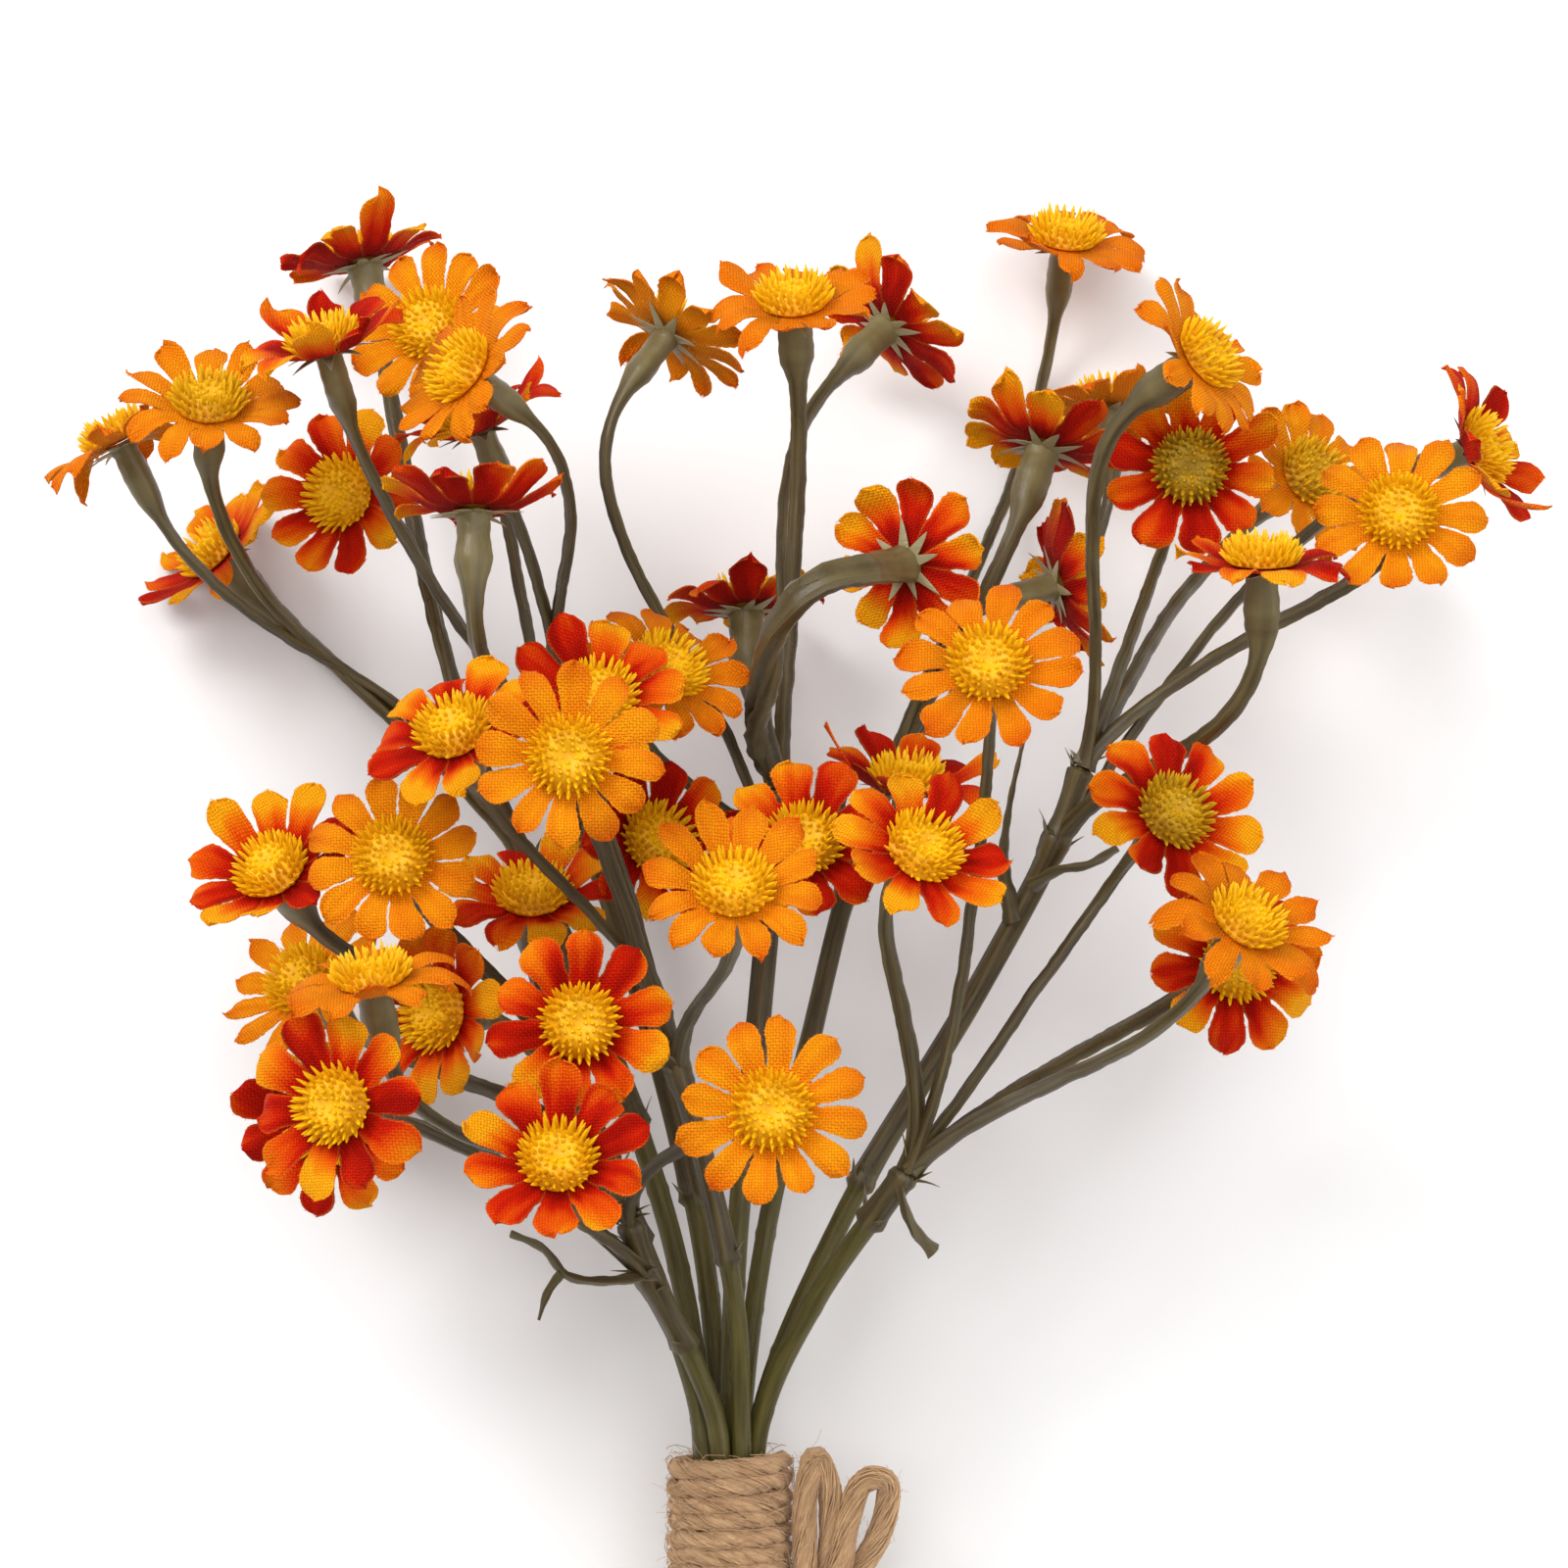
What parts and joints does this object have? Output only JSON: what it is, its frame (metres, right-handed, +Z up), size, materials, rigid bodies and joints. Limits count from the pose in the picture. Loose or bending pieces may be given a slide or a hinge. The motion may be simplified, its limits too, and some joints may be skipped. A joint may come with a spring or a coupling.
{
  "type": "bunch of artificial daisies",
  "caption": "Tied bunch of artificial daisies with cloth petals on branching plastic stems, bound with twine and laid on its back.",
  "frame": {"origin": "middle of the box round the bunch, on the surface that it lies on", "axes": "+Y along the bunch from the cut stem ends to the flowers, +Z up from the surface, +X to the right"},
  "size_m": [0.2152, 0.2528, 0.1017],
  "materials": {
    "stem_plastic": "moulded olive-brown plastic, slightly glossy",
    "petals_orange": "orange woven cloth, stiffened",
    "petals_red": "woven cloth dyed deep red shading to orange, stiffened",
    "flower_centre": "moulded yellow plastic, spiky",
    "jute_twine": "twisted natural jute, hairy"
  },
  "bodies": {
    "root": {"stem_a": "stem_plastic", "daisy_a_low_1": "petals_red", "daisy_a_low_2": "petals_red", "daisy_a_low_3": "petals_orange", "daisy_a_low_4": "petals_red", "daisy_a_low_5": "petals_orange", "stem_b": "stem_plastic", "daisy_b_low_1": "petals_red", "daisy_b_low_2": "petals_red", "daisy_b_top_1": "petals_orange", "daisy_b_top_2": "petals_red", "daisy_b_top_3": "petals_orange", "daisy_b_top_4": "petals_orange", "stem_c": "stem_plastic", "daisy_c_low_1": "petals_red", "daisy_c_low_2": "petals_red", "daisy_c_low_3": "petals_red", "daisy_c_top_1": "petals_orange", "daisy_c_top_2": "petals_orange", "stem_d": "stem_plastic", "daisy_d_low_1": "petals_orange", "daisy_d_low_2": "petals_red", "daisy_d_top_1": "petals_orange", "daisy_d_top_2": "petals_red", "daisy_d_top_3": "petals_red", "stem_e": "stem_plastic", "daisy_e_low_1": "petals_orange", "daisy_e_low_2": "petals_red", "daisy_e_top_1": "petals_orange", "daisy_e_top_2": "petals_red", "daisy_e_top_3": "petals_red", "stem_f": "stem_plastic", "daisy_f_low_1": "petals_orange", "daisy_f_low_2": "petals_orange", "daisy_f_top_1": "petals_orange", "daisy_f_top_2": "petals_red", "daisy_f_top_3": "petals_red", "daisy_f_top_4": "petals_red", "stem_g": "stem_plastic", "daisy_g_low_1": "petals_red", "daisy_g_low_2": "petals_red", "daisy_g_top_1": "petals_orange", "daisy_g_top_2": "petals_red", "daisy_g_top_3": "petals_orange", "daisy_g_top_4": "petals_red", "stem_h": "stem_plastic", "daisy_h_low_1": "petals_red", "daisy_h_low_2": "petals_red", "daisy_h_top_1": "petals_orange", "daisy_h_top_2": "petals_orange", "daisy_h_top_3": "petals_red", "stem_i": "stem_plastic", "daisy_i_low_1": "petals_red", "daisy_i_low_2": "petals_orange", "daisy_i_low_3": "petals_red", "daisy_i_top_1": "petals_orange", "daisy_i_top_2": "petals_red", "daisy_i_top_3": "petals_red", "twine_winding": "jute_twine", "twine_bow": "jute_twine"}
  },
  "joints": []
}
